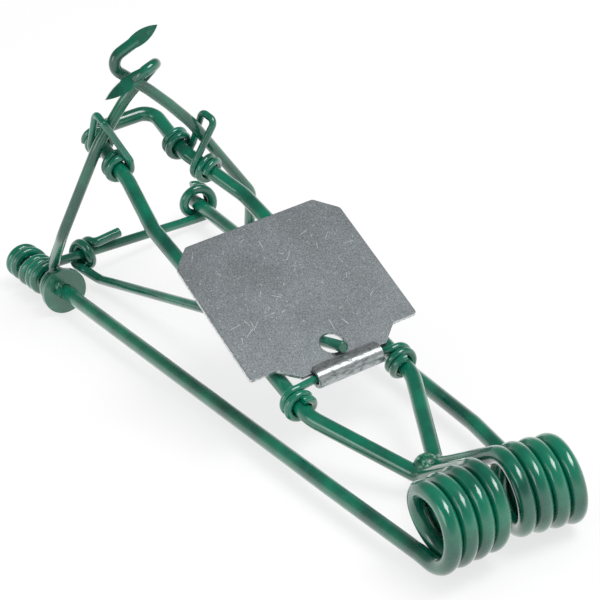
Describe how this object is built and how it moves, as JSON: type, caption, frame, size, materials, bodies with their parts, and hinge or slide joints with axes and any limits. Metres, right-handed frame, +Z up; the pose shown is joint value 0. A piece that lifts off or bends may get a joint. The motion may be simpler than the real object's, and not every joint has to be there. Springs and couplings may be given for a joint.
{
  "type": "snap mouse trap",
  "caption": "Green coated wire spring trap with coil springs, crossing pointed jaws in wire keeper loops, and a galvanised trigger plate on a wire hinge.",
  "frame": {"origin": "middle of the coil springs' common axis, between the coils", "axes": "+X to the rear, away from the jaws; +Y along the coil axis to the far side; +Z up"},
  "size_m": [0.1521, 0.0476, 0.0606],
  "materials": {
    "coated_wire": "glossy dark green coating over steel spring wire",
    "weld_metal": "rough weld bead under the green coating",
    "galvanised_sheet": "dull galvanised sheet with fine speckle and scratches"
  },
  "bodies": {
    "lower_frame": {"near_coil": "coated_wire", "far_coil": "coated_wire", "near_lower_arm": "coated_wire", "far_lower_arm": "coated_wire", "near_washer": "coated_wire", "far_washer": "coated_wire", "crossbar_near_coils": "coated_wire", "crossbar": "coated_wire", "crossbar_far_ring": "coated_wire"},
    "upper_frame": {"near_frame_leg": "coated_wire", "far_frame_leg": "coated_wire", "near_upper_arm": "coated_wire", "far_upper_arm": "coated_wire", "front_bow": "coated_wire", "weld_bead": "weld_metal", "near_keeper": "coated_wire", "far_keeper": "coated_wire", "hinge_wire": "coated_wire"},
    "near_jaw": {"near_jaw": "coated_wire"},
    "far_jaw": {"far_jaw": "coated_wire"},
    "plate": {"trigger_plate": "galvanised_sheet"},
    "rod": {"trigger_rod": "coated_wire"}
  },
  "joints": [
    {"name": "frame_press", "type": "hinge", "parent": "lower_frame", "child": "upper_frame", "pos_m": [0, 0, 0], "axis": [0, -1, 0], "range_deg": [0, 10], "stiffness_Nm_per_rad": 3},
    {"name": "near_jaw_swing", "type": "hinge", "parent": "lower_frame", "child": "near_jaw", "pos_m": [-0.127, -0.01915, -0.00649], "axis": [-0.9988, -0.0481, -0.0035], "range_deg": [0, 32]},
    {"name": "far_jaw_swing", "type": "hinge", "parent": "lower_frame", "child": "far_jaw", "pos_m": [-0.1135, 0.0185, -0.00644], "axis": [0.9988, -0.0481, 0.0035], "range_deg": [0, 33]},
    {"name": "plate_swing", "type": "hinge", "parent": "upper_frame", "child": "plate", "pos_m": [-0.045, 0, 0.0032], "axis": [0, 1, 0], "range_deg": [0, 40.5]},
    {"name": "rod_swing", "type": "hinge", "parent": "lower_frame", "child": "rod", "pos_m": [-0.13289, -0.01, -0.00503], "axis": [-0.1648, 0.9773, -0.1333], "range_deg": [0, 4]}
  ],
  "couplings": [
    {"joint": "near_jaw_swing", "follows": "frame_press", "ratio": 3.19},
    {"joint": "far_jaw_swing", "follows": "frame_press", "ratio": 3.28},
    {"joint": "plate_swing", "follows": "frame_press", "ratio": 4},
    {"joint": "rod_swing", "follows": "frame_press", "ratio": 0.37}
  ]
}
